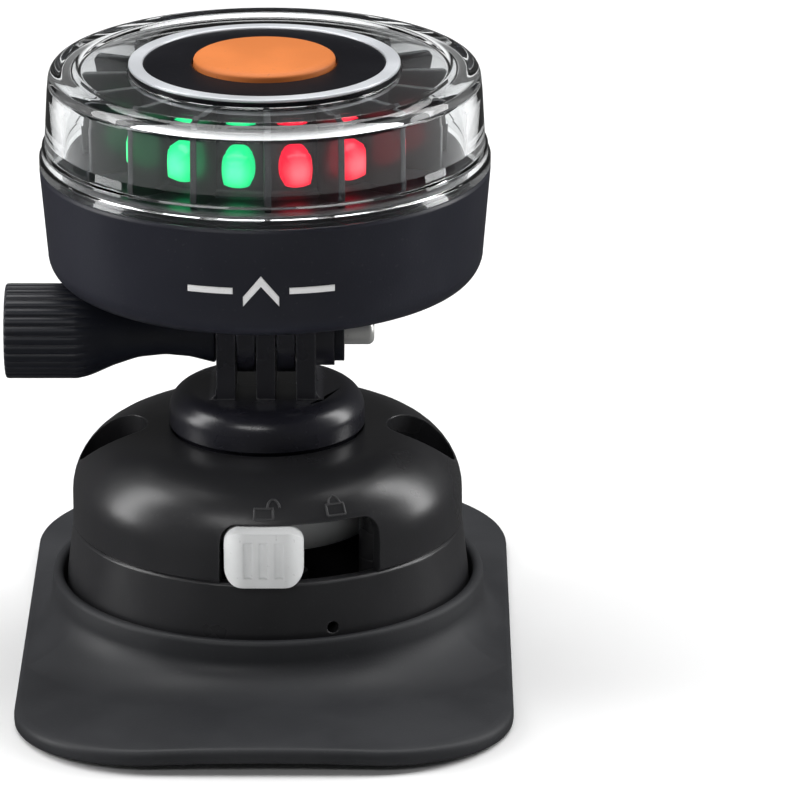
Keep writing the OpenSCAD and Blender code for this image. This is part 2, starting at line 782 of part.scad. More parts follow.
module face_plate() {
    color("#111113") rotate_extrude() polygon([
        [drum_r, face_z], [drum_r, face_z + 0.9], [21.9, face_z + 0.9], [21.9, face_top_z - 0.2], [21.7, face_top_z],
        [button_r + 0.2, face_top_z], [button_r + 0.2, face_top_z - 0.7], [button_r + 1.9, face_top_z - 0.7],
        [button_r + 1.9, face_z]]);
}

module trim_ring() {
    color("silver") rotate_extrude() polygon([
        [21.95, face_z + 0.95], [24.6, face_z + 0.95], [24.6, trim_top_z - 0.35], [24.3, trim_top_z],
        [22.25, trim_top_z], [21.95, trim_top_z - 0.25]]);
}

module mode_button() {
    flange_z = face_z - 0.35;
    flange_t = 0.7;
    color("#e8823c") rotate_extrude() polygon(concat(
        [[0, stem_z], [2.4, stem_z], [2.4, flange_z], [button_r + 1.2, flange_z],
         [button_r + 1.2, flange_z + flange_t], [button_r, flange_z + flange_t]],
        arc([button_r - 0.8, button_top_z - 1], 0.8, 0, 70, 5),
        [[8, button_top_z - 0.08], [0, button_top_z]]));
}

module button_seal() {
    color("#1a1a1a") rotate_extrude() translate([button_r + 2.6, face_z - 0.55]) circle(0.5, $fn = 16);
}

rubber_pad();
backing_plate();
base_body();
base_cover();
fixing_screws();
cover_screws();
detent_balls();
detent_springs();
lock_ring();
front_thumb_tab();
rear_thumb_tab();
twist_plug();
prong_disc();
plug_screw();
clamp_nut();
clamp_knob();
clamp_bolt();
lower_housing();
tilt_bracket();
bracket_screws();
battery_tray();
battery_cells();
contact_springs();
contact_plates();
bow_mark();
lens();
lens_seal();
led_carrier();
led_strip();
green_leds();
red_leds();
white_leds();
main_board();
switch_board();
board_pins();
mode_switch();
face_plate();
trim_ring();
mode_button();
button_seal();
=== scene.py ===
"""Looks of a portable tricolour navigation light, seated in its deck base.

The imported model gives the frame, in metres. Each class below dresses one sub-assembly. Smooth parts are
surfaces worked out with numpy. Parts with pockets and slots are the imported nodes, or copies of them with
rounded edges.
"""

import logging
import math
from dataclasses import dataclass
from enum import Enum

import bmesh
import bpy
import numpy as np
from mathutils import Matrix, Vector


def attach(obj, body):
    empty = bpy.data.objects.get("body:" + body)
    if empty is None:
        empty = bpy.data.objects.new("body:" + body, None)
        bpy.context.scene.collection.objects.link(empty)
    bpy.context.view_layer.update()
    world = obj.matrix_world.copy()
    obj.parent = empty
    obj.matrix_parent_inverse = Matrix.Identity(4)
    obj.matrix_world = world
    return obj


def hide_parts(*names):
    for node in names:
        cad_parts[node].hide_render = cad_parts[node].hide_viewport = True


MM = 0.001
SHARP_EDGE = math.radians(32.0)
LOG = logging.getLogger("navigation_light")
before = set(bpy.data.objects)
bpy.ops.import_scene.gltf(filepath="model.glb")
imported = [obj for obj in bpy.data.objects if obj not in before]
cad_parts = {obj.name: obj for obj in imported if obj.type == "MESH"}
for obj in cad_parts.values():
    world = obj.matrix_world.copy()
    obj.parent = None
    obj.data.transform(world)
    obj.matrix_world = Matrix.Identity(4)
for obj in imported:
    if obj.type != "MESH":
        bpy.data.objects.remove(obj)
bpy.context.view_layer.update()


# ---------------------------------------------------------------- shader node groups


def new_group(name: str, inputs: dict[str, float], outputs: dict[str, str]) -> bpy.types.NodeTree:
    """Starts a shader node group.

    Args:
        name: the group's name.
        inputs: input socket names and their default values.
        outputs: output socket names and their socket types.

    Returns:
        The node tree, with its Group Input and Group Output nodes named "in" and "out".
    """
    tree = bpy.data.node_groups.new(name, "ShaderNodeTree")
    for key, value in inputs.items():
        socket = tree.interface.new_socket(name=key, in_out="INPUT", socket_type="NodeSocketFloat")
        socket.default_value = value
    for key, kind in outputs.items():
        tree.interface.new_socket(name=key, in_out="OUTPUT", socket_type=kind)
    tree.nodes.new("NodeGroupInput").name = "in"
    tree.nodes.new("NodeGroupOutput").name = "out"
    return tree


def add_node(tree: bpy.types.NodeTree, kind: str, **settings: object) -> bpy.types.Node:
    """Adds a node of a kind and sets its properties.

    Args:
        tree: the node tree.
        kind: Blender's name of the node's type.
        **settings: properties and their values.

    Returns:
        The node.
    """
    node = tree.nodes.new(kind)
    for key, value in settings.items():
        setattr(node, key, value)
    return node


def noise(tree: bpy.types.NodeTree, vector: bpy.types.NodeSocket, scale: float,
          detail: float) -> bpy.types.Node:
    """Adds a noise texture.

    Args:
        tree: the node tree.
        vector: the place where the noise is read.
        scale: how fine the noise is.
        detail: its number of octaves.

    Returns:
        The node.
    """
    node = add_node(tree, "ShaderNodeTexNoise")
    node.inputs["Scale"].default_value = scale
    node.inputs["Detail"].default_value = detail
    tree.links.new(vector, node.inputs["Vector"])
    return node


def math_node(tree: bpy.types.NodeTree, operation: str, a: object, b: object = 0.0) -> bpy.types.NodeSocket:
    """Adds a maths node.

    Args:
        tree: the node tree.
        operation: Blender's name of the operation.
        a: first socket or number.
        b: second socket or number.

    Returns:
        The node's result.
    """
    node = add_node(tree, "ShaderNodeMath", operation=operation)
    for index, value in enumerate((a, b)):
        if isinstance(value, (int, float)):
            node.inputs[index].default_value = value
        else:
            tree.links.new(value, node.inputs[index])
    return node.outputs[0]


def build_grain_group() -> bpy.types.NodeTree:
    """Moulded grain: fine noise as a height, with coarser flow marks mixed in.

    Returns:
        The group.
    """
    tree = new_group("moulded_grain", {"Scale": 2200.0, "Flow": 0.2}, {"Height": "NodeSocketFloat"})
    source, target = tree.nodes["in"], tree.nodes["out"]
    place = add_node(tree, "ShaderNodeTexCoord")
    fine = noise(tree, place.outputs["Object"], 2200.0, 2.0)
    tree.links.new(source.outputs["Scale"], fine.inputs["Scale"])
    coarse = noise(tree, place.outputs["Object"], 90.0, 3.0)
    flow = math_node(tree, "MULTIPLY", coarse.outputs["Fac"], source.outputs["Flow"])
    tree.links.new(math_node(tree, "ADD", fine.outputs["Fac"], flow), target.inputs["Height"])
    return tree


def build_handling_group() -> bpy.types.NodeTree:
    """Handling marks: soft cloudy patches and sparse fine dust, both from 0 to 1.

    Returns:
        The group.
    """
    tree = new_group("handling_marks", {"Patches": 45.0, "Dust": 0.6},
                     {"Patches": "NodeSocketFloat", "Dust": "NodeSocketFloat"})
    source, target = tree.nodes["in"], tree.nodes["out"]
    place = add_node(tree, "ShaderNodeTexCoord")
    cloud = noise(tree, place.outputs["Object"], 45.0, 4.0)
    tree.links.new(source.outputs["Patches"], cloud.inputs["Scale"])
    soft = add_node(tree, "ShaderNodeMapRange", interpolation_type="SMOOTHSTEP")
    soft.inputs["From Min"].default_value, soft.inputs["From Max"].default_value = 0.35, 0.68
    tree.links.new(cloud.outputs["Fac"], soft.inputs["Value"])
    tree.links.new(soft.outputs["Result"], target.inputs["Patches"])
    specks = noise(tree, place.outputs["Object"], 1500.0, 1.0)
    sparse = add_node(tree, "ShaderNodeMapRange")
    sparse.inputs["From Min"].default_value, sparse.inputs["From Max"].default_value = 0.69, 0.76
    tree.links.new(specks.outputs["Fac"], sparse.inputs["Value"])
    dust = math_node(tree, "MULTIPLY", sparse.outputs["Result"], source.outputs["Dust"])
    tree.links.new(dust, target.inputs["Dust"])
    return tree


def build_edge_group() -> bpy.types.NodeTree:
    """Edge wear: how far the rounded normal leans from the true one, broken up by noise, from 0 to 1.

    Returns:
        The group.
    """
    tree = new_group("edge_wear", {"Amount": 1.0, "Radius": 0.0006}, {"Mask": "NodeSocketFloat"})
    source, target = tree.nodes["in"], tree.nodes["out"]
    place = add_node(tree, "ShaderNodeTexCoord")
    soft = add_node(tree, "ShaderNodeBevel", samples=4)
    tree.links.new(source.outputs["Radius"], soft.inputs["Radius"])
    true = add_node(tree, "ShaderNodeNewGeometry")
    lean = add_node(tree, "ShaderNodeVectorMath", operation="DOT_PRODUCT")
    tree.links.new(soft.outputs["Normal"], lean.inputs[0])
    tree.links.new(true.outputs["Normal"], lean.inputs[1])
    gone = math_node(tree, "SUBTRACT", 1.0, lean.outputs["Value"])
    broken = noise(tree, place.outputs["Object"], 260.0, 4.0)
    mask = math_node(tree, "MULTIPLY", math_node(tree, "MULTIPLY", gone, 5.0), broken.outputs["Fac"])
    out = add_node(tree, "ShaderNodeMath", operation="MULTIPLY", use_clamp=True)
    tree.links.new(mask, out.inputs[0])
    tree.links.new(source.outputs["Amount"], out.inputs[1])
    tree.links.new(out.outputs[0], target.inputs["Mask"])
    return tree


def build_soft_group() -> bpy.types.NodeTree:
    """Soft edges: the normal as it would be if every edge were rounded by the radius.

    Returns:
        The group.
    """
    tree = new_group("soft_edges", {"Radius": 0.0004}, {"Normal": "NodeSocketVector"})
    source, target = tree.nodes["in"], tree.nodes["out"]
    soft = add_node(tree, "ShaderNodeBevel", samples=6)
    tree.links.new(source.outputs["Radius"], soft.inputs["Radius"])
    tree.links.new(soft.outputs["Normal"], target.inputs["Normal"])
    return tree


GRAIN = build_grain_group()
SOFT = build_soft_group()
HANDLING = build_handling_group()
EDGES = build_edge_group()
BUILT: dict[str, bpy.types.Material] = {}


# ---------------------------------------------------------------- finishes


def place_group(tree: bpy.types.NodeTree, group: bpy.types.NodeTree,
                values: dict[str, float]) -> bpy.types.Node:
    """Places a node group in a material.

    Args:
        tree: the material's node tree.
        group: the group.
        values: inputs that differ from the group's defaults.

    Returns:
        The node.
    """
    node = add_node(tree, "ShaderNodeGroup", node_tree=group)
    for key, value in values.items():
        node.inputs[key].default_value = value
    return node


def start_material(name: str) -> tuple[bpy.types.Material, bpy.types.NodeTree, bpy.types.Node]:
    """Starts a material and keeps it in BUILT under its finish's name.

    Args:
        name: the finish's name.

    Returns:
        The material, its node tree and its principled shader.
    """
    material = bpy.data.materials.new(f"{name}_finish")
    material.use_nodes = True
    BUILT[name] = material
    return material, material.node_tree, material.node_tree.nodes["Principled BSDF"]


def mix_colour(tree: bpy.types.NodeTree, factor: object, a: object, b: object) -> bpy.types.NodeSocket:
    """Mixes two colours.

    Args:
        tree: the node tree.
        factor: share of the second colour, a socket or a number.
        a: first colour, a socket or an RGB triple.
        b: second colour, a socket or an RGB triple.

    Returns:
        The mixed colour.
    """
    node = add_node(tree, "ShaderNodeMix", data_type="RGBA")
    for socket, value in ((node.inputs[0], factor), (node.inputs[6], a), (node.inputs[7], b)):
        if isinstance(value, bpy.types.NodeSocket):
            tree.links.new(value, socket)
        elif isinstance(value, (int, float)):
            socket.default_value = value
        else:
            socket.default_value = (*value, 1.0)
    return node.outputs[2]


@dataclass(frozen=True)
class Finish:
    """An opaque moulded, painted or plated finish.

    Attributes:
        name: the material's name.
        slot: name of the record's material slot; not used.
        colour: base colour, linear RGB.
        worn: colour of rubbed edges.
        rough: roughness of the clean surface.
        metallic: 1 for metal.
        grain: depth of the moulded grain, in metres.
        patches: how much handling changes the roughness.
        wear: strength of the edge wear.
        coat: weight of a clear coat.
        specular: specular level.
        soft: radius of the eased edges, in metres.
    """

    name: str
    slot: str
    colour: tuple[float, float, float]
    worn: tuple[float, float, float] = (0.12, 0.12, 0.13)
    rough: float = 0.4
    metallic: float = 0.0
    grain: float = 0.00002
    patches: float = 0.1
    wear: float = 0.25
    coat: float = 0.0
    specular: float = 0.5
    soft: float = 0.0004

    def build(self) -> bpy.types.Material:
        """Builds the material once.

        Returns:
            The new material, or the one already built.
        """
        if self.name in BUILT:
            return BUILT[self.name]
        material, tree, shader = start_material(self.name)
        shader.inputs["Specular IOR Level"].default_value = self.specular
        shader.inputs["Metallic"].default_value = self.metallic
        shader.inputs["Coat Weight"].default_value = self.coat
        shader.inputs["Coat Roughness"].default_value = 0.12
        marks = place_group(tree, HANDLING, {})
        edges = place_group(tree, EDGES, {"Amount": self.wear})
        lifted = tuple(c * 1.18 + 0.001 for c in self.colour)
        base = mix_colour(tree, marks.outputs["Patches"], self.colour, lifted)
        base = mix_colour(tree, edges.outputs["Mask"], base, self.worn)
        dusty = mix_colour(tree, marks.outputs["Dust"], base, tuple(c * 0.85 + 0.02 for c in self.colour))
        tree.links.new(dusty, shader.inputs["Base Color"])
        change = math_node(tree, "MULTIPLY", marks.outputs["Patches"], self.patches)
        tree.links.new(math_node(tree, "ADD", change, self.rough), shader.inputs["Roughness"])
        grain = place_group(tree, GRAIN, {})
        bump = add_node(tree, "ShaderNodeBump")
        bump.inputs["Distance"].default_value = self.grain
        bump.inputs["Strength"].default_value = 0.6
        tree.links.new(grain.outputs["Height"], bump.inputs["Height"])
        eased = place_group(tree, SOFT, {"Radius": self.soft})
        tree.links.new(eased.outputs["Normal"], bump.inputs["Normal"])
        tree.links.new(bump.outputs["Normal"], shader.inputs["Normal"])
        return material


@dataclass(frozen=True)
class ClearFinish:
    """Clear polycarbonate, with a faint cool tint.

    Attributes:
        name: the material's name.
        slot: name of the record's material slot; not used.
        tint: colour of the light that passes.
        ior: refractive index.
        rough: roughness.
    """

    name: str
    slot: str
    tint: tuple[float, float, float] = (0.97, 0.985, 0.99)
    ior: float = 1.49
    rough: float = 0.0

    def build(self) -> bpy.types.Material:
        """Builds the material once.

        Returns:
            The new material, or the one already built.
        """
        if self.name in BUILT:
            return BUILT[self.name]
        material, tree, shader = start_material(self.name)
        shader.inputs["Base Color"].default_value = (*self.tint, 1.0)
        shader.inputs["Transmission Weight"].default_value = 1.0
        shader.inputs["IOR"].default_value = self.ior
        marks = place_group(tree, HANDLING, {"Patches": 60.0})
        change = math_node(tree, "MULTIPLY", marks.outputs["Patches"], 0.01)
        tree.links.new(math_node(tree, "ADD", change, self.rough), shader.inputs["Roughness"])
        return material


@dataclass(frozen=True)
class GlowFinish:
    """A lit diode or its window: a bright middle that falls off to a deeper rim.

    Attributes:
        name: the material's name.
        slot: name of the record's material slot; not used.
        core: colour of the middle.
        rim: colour of the edge.
        strength: emission strength.
    """

    name: str
    slot: str
    core: tuple[float, float, float]
    rim: tuple[float, float, float]
    strength: float = 3.0

    def build(self) -> bpy.types.Material:
        """Builds the material once.

        Returns:
            The new material, or the one already built.
        """
        if self.name in BUILT:
            return BUILT[self.name]
        material, tree, shader = start_material(self.name)
        shader.inputs["Base Color"].default_value = (*self.rim, 1.0)
        shader.inputs["Roughness"].default_value = 0.3
        across = add_node(tree, "ShaderNodeUVMap", uv_map="across")
        reach = add_node(tree, "ShaderNodeVectorMath", operation="LENGTH")
        tree.links.new(across.outputs["UV"], reach.inputs[0])
        fall = add_node(tree, "ShaderNodeMapRange", interpolation_type="SMOOTHSTEP")
        fall.inputs["From Min"].default_value, fall.inputs["From Max"].default_value = 0.15, 1.0
        tree.links.new(reach.outputs["Value"], fall.inputs["Value"])
        colour = mix_colour(tree, fall.outputs["Result"], self.core, self.rim)
        tree.links.new(colour, shader.inputs["Emission Color"])
        shader.inputs["Emission Strength"].default_value = self.strength
        return material


@dataclass(frozen=True)
class VanePaintedHighlightFinish:
    """Black moulding whose top edges carry a painted highlight in lighter grey.

    Attributes:
        name: the material's name.
        slot: name of the record's material slot, passed to the plain finish; not used.
        colour: base colour.
        top: colour of the painted highlight above the level.
        level: height where the painted highlight begins, in metres.
    """

    name: str
    slot: str
    colour: tuple[float, float, float]
    top: tuple[float, float, float]
    level: float

    def build(self) -> bpy.types.Material:
        """Builds the material from the plain finish and adds the painted highlight along the top.

        Returns:
            The new material, or the one already built.
        """
        if self.name in BUILT:
            return BUILT[self.name]
        material = Finish(self.name, self.slot, self.colour, rough=0.32, wear=0.1, coat=0.2).build()
        tree = material.node_tree
        shader = tree.nodes["Principled BSDF"]
        before = shader.inputs["Base Color"].links[0].from_socket
        place = add_node(tree, "ShaderNodeTexCoord")
        split = add_node(tree, "ShaderNodeSeparateXYZ")
        tree.links.new(place.outputs["Object"], split.inputs[0])
        # painted highlight: the colour turns light grey above the level, blended over half a millimetre
        rise = add_node(tree, "ShaderNodeMapRange", interpolation_type="SMOOTHSTEP")
        rise.inputs["From Min"].default_value = self.level - 0.0003
        rise.inputs["From Max"].default_value = self.level + 0.0002
        tree.links.new(split.outputs["Z"], rise.inputs["Value"])
        tree.links.new(mix_colour(tree, rise.outputs["Result"], before, self.top), shader.inputs["Base Color"])
        return material


class Palette(Enum):
    """The finishes of the light and its base."""

    PAD = Finish("pad_rubber", "pad_rubber", (0.024, 0.025, 0.028), rough=0.46, grain=0.00004, specular=0.36,
                 patches=0.12, wear=0.15)
    PLATE = Finish("backing_nylon", "nylon_grey", (0.11, 0.11, 0.12), rough=0.5)
    BASE = Finish("base_plastic", "base_plastic", (0.021, 0.021, 0.023), rough=0.27, specular=0.55, wear=0.2)
    LOCK = Finish("lock_grey", "lock_grey", (0.74, 0.75, 0.75), worn=(0.72, 0.72, 0.72), rough=0.42, wear=0.2)
    PLUG = Finish("plug_nylon", "plug_nylon", (0.014, 0.014, 0.020), rough=0.22, specular=0.7, wear=0.35)
    KNOB = Finish("knob_nylon", "knob_nylon", (0.009, 0.010, 0.015), rough=0.3, specular=0.36, wear=0.3)
    HOUSING = Finish("housing_plastic", "housing_plastic", (0.016, 0.017, 0.026), rough=0.36, grain=0.00003,
                     specular=0.4, wear=0.25)
    ZINC = Finish("zinc_plate", "zinc_steel", (0.74, 0.74, 0.72), worn=(0.9, 0.9, 0.88), rough=0.24,
                  metallic=0.7, grain=0.00001, wear=0.4)
    BRASS = Finish("pin_brass", "pin_brass", (0.72, 0.55, 0.25), worn=(0.9, 0.8, 0.5), rough=0.3, metallic=1.0)
    SLEEVE = Finish("cell_sleeve", "cell_sleeve", (0.5, 0.36, 0.1), worn=(0.7, 0.6, 0.3), rough=0.3,
                    metallic=0.6)
    BOARD = Finish("circuit_board", "board_green", (0.03, 0.16, 0.07), rough=0.4, coat=0.3)
    CARRIER = Finish("carrier_black", "carrier_plastic", (0.012, 0.013, 0.018), rough=0.34)
    SEAL = Finish("seal_rubber", "seal_rubber", (0.012, 0.012, 0.012), rough=0.5)
    PRINT = Finish("print_white", "print_white", (0.82, 0.82, 0.82), worn=(0.6, 0.6, 0.6), rough=0.5, wear=0.0)
    FACE = Finish("face_black", "face_black", (0.004, 0.004, 0.006), rough=0.38, specular=0.11, wear=0.05)
    TRIM = Finish("trim_silver", "trim_silver", (0.64, 0.66, 0.69), worn=(0.85, 0.86, 0.88), rough=0.3,
                  metallic=0.3, grain=0.00001)
    BUTTON = Finish("button_orange", "button_orange", (0.60, 0.172, 0.038), worn=(0.85, 0.42, 0.22), rough=0.5,
                    grain=0.00003, specular=0.35, wear=0.15)
    ICON = Finish("icon_grey", "base_plastic", (0.05, 0.05, 0.053), rough=0.45, wear=0.0)
    LENS = ClearFinish("lens_clear", "lens_clear")
    GREEN = GlowFinish("led_green", "led_green", (0.06, 0.90, 0.28), (0.0, 0.48, 0.15), 1.9)
    RED = GlowFinish("led_red", "led_red", (1.0, 0.09, 0.11), (0.62, 0.0, 0.02), 1.9)
    WHITE = GlowFinish("led_white", "led_white", (1.0, 1.0, 0.96), (0.7, 0.7, 0.66), 1.6)


# ---------------------------------------------------------------- surfaces


def rounded_profile(points: list[tuple[float, float, float]], steps: int = 7) -> np.ndarray:
    """Rounds the corners of an open profile.

    Each corner with a radius is replaced by a quadratic curve from one tangent point to the other. The tangent
    points lie at the radius times the tangent of half the turn from the corner, kept within 48% of each side.

    Args:
        points: (radius from the axis, height, corner radius) in millimetres.
        steps: points along each rounded corner.

    Returns:
        The profile, one row of (radius, height) a point, in metres.
    """
    p = np.array([q[:2] for q in points], float)
    r = np.array([q[2] for q in points], float)
    rows = [p[0][None]]
    for i in range(1, len(p) - 1):
        before, after = p[i - 1] - p[i], p[i + 1] - p[i]
        lb, la = np.linalg.norm(before), np.linalg.norm(after)
        turn = math.pi - math.acos(np.clip(before @ after / (lb * la), -1, 1))
        reach = min(r[i] * math.tan(turn / 2), 0.48 * lb, 0.48 * la)
        if reach < 1e-6:
            rows.append(p[i][None])
            continue
        a, b = p[i] + before / lb * reach, p[i] + after / la * reach
        t = np.linspace(0, 1, steps)[:, None]
        rows.append((1 - t) ** 2 * a + 2 * t * (1 - t) * p[i] + t**2 * b)
    rows.append(p[-1][None])
    return np.vstack(rows) * MM


def grid_object(name: str, grid: np.ndarray, close_u: bool, close_v: bool, uv: np.ndarray | None = None,
                sharp: float = 40.0) -> bpy.types.Object:
    """Makes a mesh from a grid of points.

    Args:
        name: the piece's name.
        grid: points, shape (rows, columns, 3), in metres.
        close_u: joins the last row to the first.
        close_v: joins the last column to the first.
        uv: optional coordinates for the map "across", shape (rows, columns, 2).
        sharp: angle above which an edge is kept sharp, in degrees.

    Returns:
        The object, with doubled points merged and faces pointing outwards.
    """
    rows, columns = grid.shape[:2]
    index = np.arange(rows * columns).reshape(rows, columns)
    wrap_u = np.vstack([index, index[:1]]) if close_u else index
    wrapped = np.hstack([wrap_u, wrap_u[:, :1]]) if close_v else wrap_u
    corners = (wrapped[:-1, :-1], wrapped[:-1, 1:], wrapped[1:, 1:], wrapped[1:, :-1])
    quads = np.stack(corners, -1).reshape(-1, 4)
    mesh = bpy.data.meshes.new(name)
    mesh.from_pydata(grid.reshape(-1, 3).tolist(), [], quads.tolist())
    if uv is not None:
        layer = mesh.uv_layers.new(name="across")
        loops = np.empty(len(mesh.loops), np.int32)
        mesh.loops.foreach_get("vertex_index", loops)
        layer.data.foreach_set("uv", uv.reshape(-1, 2)[loops].astype(np.float32).ravel())
    return finish_mesh(name, mesh, sharp)


def finish_mesh(name: str, mesh: bpy.types.Mesh, sharp: float) -> bpy.types.Object:
    """Merges doubled points, turns faces outwards and smooths them.

    Args:
        name: the piece's name.
        mesh: its mesh.
        sharp: angle above which an edge is kept sharp, in degrees.

    Returns:
        The object, linked to the scene.
    """
    work = bmesh.new()
    work.from_mesh(mesh)
    bmesh.ops.remove_doubles(work, verts=work.verts, dist=1e-7)
    bmesh.ops.dissolve_degenerate(work, edges=work.edges, dist=1e-8)
    bmesh.ops.recalc_face_normals(work, faces=work.faces)
    work.to_mesh(mesh)
    work.free()
    mesh.shade_smooth()
    mesh.set_sharp_from_angle(angle=math.radians(sharp))
    piece = bpy.data.objects.new(name, mesh)
    bpy.context.scene.collection.objects.link(piece)
    return piece


def revolve(name: str, profile: np.ndarray, segments: int) -> bpy.types.Object:
    """Turns an open profile round the Z axis: a point (r, h) at angle a goes to (r cos a, r sin a, h).

    Args:
        name: the piece's name.
        profile: rows of (radius, height) in metres.
        segments: steps round the axis.

    Returns:
        The piece.
    """
    a = np.linspace(0, 2 * math.pi, segments, endpoint=False)
    r, h = profile[:, 0][:, None], profile[:, 1][:, None] + 0 * a
    return grid_object(name, np.stack([r * np.cos(a), r * np.sin(a), h], -1), False, True)


def copy_node(node: str, width: float, name: str) -> bpy.types.Object:
    """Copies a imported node, merges its loose triangles and rounds its sharp edges.

    Args:
        node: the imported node.
        width: width of the rounding, in millimetres.
        name: the new piece's name.

    Returns:
        The piece, which stands for the node.
    """
    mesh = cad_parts[node].data.copy()
    mesh.materials.clear()
    work = bmesh.new()
    work.from_mesh(mesh)
    bmesh.ops.remove_doubles(work, verts=work.verts, dist=2e-6)
    bmesh.ops.dissolve_limit(work, angle_limit=math.radians(0.6), verts=work.verts, edges=work.edges)
    work.to_mesh(mesh)
    work.free()
    mesh.shade_smooth()
    mesh.set_sharp_from_angle(angle=SHARP_EDGE)
    piece = bpy.data.objects.new(name, mesh)
    bpy.context.scene.collection.objects.link(piece)
    bevel = piece.modifiers.new("rounding", "BEVEL")
    bevel.width, bevel.segments = width * MM, 3
    bevel.limit_method, bevel.angle_limit = "ANGLE", SHARP_EDGE
    bevel.miter_outer = "MITER_ARC"
    even = piece.modifiers.new("even_shading", "WEIGHTED_NORMAL")
    even.keep_sharp, even.weight = True, 90
    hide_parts(node)
    return piece


def dress(piece: bpy.types.Object, finish: Palette, body: str | None = None) -> bpy.types.Object:
    """Gives a piece its finish, and rides it on a body.

    Args:
        piece: the piece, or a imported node.
        finish: its finish.
        body: the body it rides on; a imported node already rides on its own.

    Returns:
        The piece.
    """
    material = finish.value.build()
    if piece.data.materials:
        for index in range(len(piece.data.materials)):
            piece.data.materials[index] = material
    else:
        piece.data.materials.append(material)
    if body is not None:
        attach(piece, body)
    LOG.info("%s: %s", piece.name, finish.value.name)
    return piece


def dress_nodes(finish: Palette, *nodes: str) -> None:
    """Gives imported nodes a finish.

    Args:
        finish: their finish.
        *nodes: the nodes' names.
    """
    for node in nodes:
        dress(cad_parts[node], finish)


# ---------------------------------------------------------------- base


@dataclass
class Pad:
    """The rubber pad: an arched plate whose top sweeps up into a round collar.

    Sizes are in millimetres.
    """

    half_w: float = 45.0
    half_l: float = 68.0
    corner: float = 26.0
    thickness: float = 3.0
    rise: float = 2.0
    collar_in: float = 38.0
    collar_top: float = 14.0
    pocket_r: float = 32.1

    def outline(self, angle: np.ndarray) -> np.ndarray:
        """Distance from the centre to a rounded rectangle's edge at each angle.

        The ray meets a straight side at half its width over its cosine, or half its length over its sine,
        unless it passes through a corner, where it meets the corner's circle.

        Args:
            angle: angles from +X, in radians.

        Returns:
            The distances, in millimetres.
        """
        c, s = np.abs(np.cos(angle)), np.abs(np.sin(angle))
        side = np.minimum(self.half_w / np.maximum(c, 1e-9), self.half_l / np.maximum(s, 1e-9))
        cx, cy = self.half_w - self.corner, self.half_l - self.corner
        along = cx * c + cy * s
        inside = along**2 - (cx**2 + cy**2 - self.corner**2)
        round_r = along + np.sqrt(np.maximum(inside, 0))
        in_corner = (round_r * c > cx) & (round_r * s > cy)
        return np.where(in_corner, round_r, side)

    def build(self) -> None:
        """Builds the pad as a section carried round the centre.

        The section runs along the underside, round the rim, over the plate, up a concave sweep into the collar,
        over the collar and back down inside. The arch lowers each point by its x squared over twice its radius.
        """
        angle = np.linspace(0, 2 * math.pi, 720, endpoint=False)
        edge = self.outline(angle)
        arch = (self.half_w**2 + self.rise**2) / (2 * self.rise)
        t = self.thickness
        low = [(0.0, 0.0), (0.5, 0.0), (0.93, 0.0)]
        rim = [(-0.9, 0.0), (-0.35, 0.12), (-0.08, 0.45), (0.0, 0.95), (0.0, t - 1.2), (-0.12, t - 0.6),
               (-0.45, t - 0.18), (-1.0, t)]
        rows = []
        for share, z in low:
            rows.append((self.pocket_r + share * (edge - 1 - self.pocket_r), z + 0 * edge, 1.0))
        for back, z in rim:
            rows.append((edge + back, z + 0 * edge, 1.0))
        foot = np.minimum(edge - 1.2, 50.0)
        start = 40.1
        for share in np.linspace(0, 1, 14)[:-1]:
            # towards the foot of the collar's sweep, across the flat of the plate
            rows.append((edge - 1.0 + share * (foot - edge + 1.0), t + 0 * edge, 1.0))
        climb = 5.6
        for share in np.linspace(0, 1, 22):
            # quarter of a squashed circle from flat to upright
            turn = share * math.pi / 2
            r = foot + (start - foot) * math.sin(turn)
            z = t + climb * (1 - math.cos(turn))
            rows.append((r, z + 0 * edge, 1.0 - share))
        top = self.collar_top - self.rise
        lip = ((39.95, top - 0.9), (39.8, top - 0.4), (39.45, top - 0.08), (38.95, top), (38.45, top - 0.1),
               (38.1, top - 0.42), (self.collar_in, top - 0.9), (self.collar_in, t + 0.2))
        for r, z in lip:
            rows.append((r + 0 * edge, z + 0 * edge, 0.0))
        rows.append((self.pocket_r + 0 * edge, t + 0 * edge, 0.0))
        radius = np.stack([r for r, _, _ in rows])
        height = np.stack([z for _, z, _ in rows])
        follow = np.array([f for _, _, f in rows])[:, None]
        x, y = radius * np.cos(angle), radius * np.sin(angle)
        z = height + self.rise - follow * x**2 / (2 * arch)
        piece = grid_object("pad", np.stack([x, y, np.maximum(z, 0)], -1) * MM, True, True)
        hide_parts("rubber_pad")
        dress(piece, Palette.PAD, "base")
        dress_nodes(Palette.PLATE, "backing_plate")


